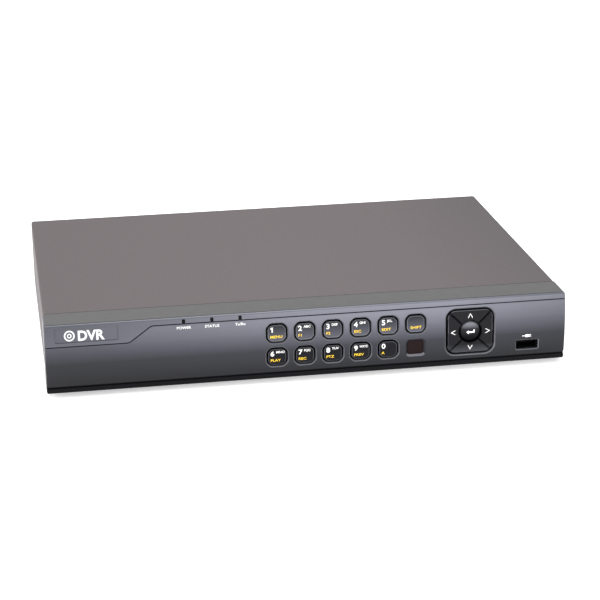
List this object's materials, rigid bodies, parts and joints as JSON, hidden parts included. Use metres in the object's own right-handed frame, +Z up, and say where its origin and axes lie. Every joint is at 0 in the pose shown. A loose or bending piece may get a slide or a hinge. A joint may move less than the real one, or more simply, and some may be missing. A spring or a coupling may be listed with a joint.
{
  "type": "dvr recorder",
  "caption": "Compact desktop video recorder: sheet-steel case, moulded front with keypad and round-cornered direction pad, rear video and network sockets, hard drive and fan inside.",
  "frame": {"origin": "centre of the footprint, on the plane the feet stand on", "axes": "+X to the right seen from the front, +Y towards the rear sockets, +Z up"},
  "size_m": [0.315, 0.242, 0.045],
  "materials": {
    "bezel": "satin moulded plastic, silver grey",
    "keys": "satin dark grey plastic",
    "painted_steel": "fine powder coat, warm grey",
    "bare_steel": "zinc-plated sheet",
    "nickel": "nickel plated",
    "black_plastic": "matt black",
    "rubber": "matt",
    "ir_filter": "dark red, translucent",
    "light_guide": "clear moulded plastic",
    "circuit_board": "green solder mask",
    "aluminium": "drawn or pressed",
    "cast_aluminium": "as cast",
    "mirror_disc": "polished",
    "red_plastic": "matt red",
    "white_plastic": "matt white",
    "green_plastic": "matt green"
  },
  "bodies": {
    "case": {"front_bezel": "bezel", "base_chassis": "bare_steel", "foot_front_left": "rubber", "foot_rear_left": "rubber", "foot_front_right": "rubber", "foot_rear_right": "rubber", "ir_window": "ir_filter", "led_light_guide": "light_guide", "keypad_board": "circuit_board", "front_usb_port": "nickel", "main_board": "circuit_board", "processor_heatsink": "aluminium", "backup_battery": "nickel", "video_in_1_2": "nickel", "video_in_3_4": "nickel", "video_out": "nickel", "audio_jacks": "white_plastic", "vga_port": "nickel", "hdmi_port": "nickel", "rear_usb_port": "nickel", "lan_port": "nickel", "serial_terminal": "green_plastic", "power_jack": "black_plastic", "power_switch_body": "black_plastic", "ground_screw": "bare_steel", "drive_case": "cast_aluminium", "drive_lid": "aluminium", "drive_board": "circuit_board", "drive_data_cable": "red_plastic", "drive_power_cable": "black_plastic", "keypad_ribbon": "white_plastic", "fan_frame": "black_plastic", "drive_screw_1": "bare_steel", "drive_screw_2": "bare_steel", "drive_screw_3": "bare_steel", "drive_screw_4": "bare_steel"},
    "key_1": {"key_1": "keys"},
    "key_2": {"key_2": "keys"},
    "key_3": {"key_3": "keys"},
    "key_4": {"key_4": "keys"},
    "key_5": {"key_5": "keys"},
    "key_shift": {"key_shift": "keys"},
    "key_6": {"key_6": "keys"},
    "key_7": {"key_7": "keys"},
    "key_8": {"key_8": "keys"},
    "key_9": {"key_9": "keys"},
    "key_0": {"key_0": "keys"},
    "key_up": {"key_up": "keys"},
    "key_right": {"key_right": "keys"},
    "key_down": {"key_down": "keys"},
    "key_left": {"key_left": "keys"},
    "key_enter": {"key_enter": "keys"},
    "power_rocker": {"power_rocker": "black_plastic"},
    "fan_rotor": {"fan_rotor": "black_plastic"},
    "drive_platters": {"drive_platters": "mirror_disc"},
    "drive_arm": {"drive_arm": "aluminium"},
    "top_cover": {"top_cover": "painted_steel", "cover_screw_right": "bare_steel", "cover_screw_middle": "bare_steel", "cover_screw_left": "bare_steel"}
  },
  "joints": [
    {"name": "key_1_press", "type": "slide", "parent": "case", "child": "key_1", "axis": [0, 1, 0], "range_m": [0, 0.0005], "stiffness_N_per_m": 60, "springref_m": -0.005},
    {"name": "key_2_press", "type": "slide", "parent": "case", "child": "key_2", "axis": [0, 1, 0], "range_m": [0, 0.0005], "stiffness_N_per_m": 60, "springref_m": -0.005},
    {"name": "key_3_press", "type": "slide", "parent": "case", "child": "key_3", "axis": [0, 1, 0], "range_m": [0, 0.0005], "stiffness_N_per_m": 60, "springref_m": -0.005},
    {"name": "key_4_press", "type": "slide", "parent": "case", "child": "key_4", "axis": [0, 1, 0], "range_m": [0, 0.0005], "stiffness_N_per_m": 60, "springref_m": -0.005},
    {"name": "key_5_press", "type": "slide", "parent": "case", "child": "key_5", "axis": [0, 1, 0], "range_m": [0, 0.0005], "stiffness_N_per_m": 60, "springref_m": -0.005},
    {"name": "key_shift_press", "type": "slide", "parent": "case", "child": "key_shift", "axis": [0, 1, 0], "range_m": [0, 0.0005], "stiffness_N_per_m": 60, "springref_m": -0.005},
    {"name": "key_6_press", "type": "slide", "parent": "case", "child": "key_6", "axis": [0, 1, 0], "range_m": [0, 0.0005], "stiffness_N_per_m": 60, "springref_m": -0.005},
    {"name": "key_7_press", "type": "slide", "parent": "case", "child": "key_7", "axis": [0, 1, 0], "range_m": [0, 0.0005], "stiffness_N_per_m": 60, "springref_m": -0.005},
    {"name": "key_8_press", "type": "slide", "parent": "case", "child": "key_8", "axis": [0, 1, 0], "range_m": [0, 0.0005], "stiffness_N_per_m": 60, "springref_m": -0.005},
    {"name": "key_9_press", "type": "slide", "parent": "case", "child": "key_9", "axis": [0, 1, 0], "range_m": [0, 0.0005], "stiffness_N_per_m": 60, "springref_m": -0.005},
    {"name": "key_0_press", "type": "slide", "parent": "case", "child": "key_0", "axis": [0, 1, 0], "range_m": [0, 0.0005], "stiffness_N_per_m": 60, "springref_m": -0.005},
    {"name": "key_up_press", "type": "slide", "parent": "case", "child": "key_up", "axis": [0, 1, 0], "range_m": [0, 0.0005], "stiffness_N_per_m": 60, "springref_m": -0.005},
    {"name": "key_right_press", "type": "slide", "parent": "case", "child": "key_right", "axis": [0, 1, 0], "range_m": [0, 0.0005], "stiffness_N_per_m": 60, "springref_m": -0.005},
    {"name": "key_down_press", "type": "slide", "parent": "case", "child": "key_down", "axis": [0, 1, 0], "range_m": [0, 0.0005], "stiffness_N_per_m": 60, "springref_m": -0.005},
    {"name": "key_left_press", "type": "slide", "parent": "case", "child": "key_left", "axis": [0, 1, 0], "range_m": [0, 0.0005], "stiffness_N_per_m": 60, "springref_m": -0.005},
    {"name": "key_enter_press", "type": "slide", "parent": "case", "child": "key_enter", "axis": [0, 1, 0], "range_m": [0, 0.0005], "stiffness_N_per_m": 60, "springref_m": -0.005},
    {"name": "power_rocker_tilt", "type": "hinge", "parent": "case", "child": "power_rocker", "pos_m": [-0.11, 0.1011, 0.02], "axis": [1, 0, 0], "range_deg": [0, 18]},
    {"name": "fan_spin", "type": "hinge", "parent": "case", "child": "fan_rotor", "pos_m": [0.1438, -0.0575, 0.0221], "axis": [1, 0, 0], "continuous": true},
    {"name": "drive_platters_spin", "type": "hinge", "parent": "case", "child": "drive_platters", "pos_m": [-0.089, -0.0442, 0.0162], "axis": [0, 0, 1], "continuous": true},
    {"name": "drive_arm_swing", "type": "hinge", "parent": "case", "child": "drive_arm", "pos_m": [-0.0305, -0.0642, 0.0192], "axis": [0, 0, 1], "range_deg": [0, 28]},
    {"name": "top_cover_slide", "type": "slide", "parent": "case", "child": "top_cover", "axis": [0, 1, 0], "range_m": [0, 0.19]}
  ]
}
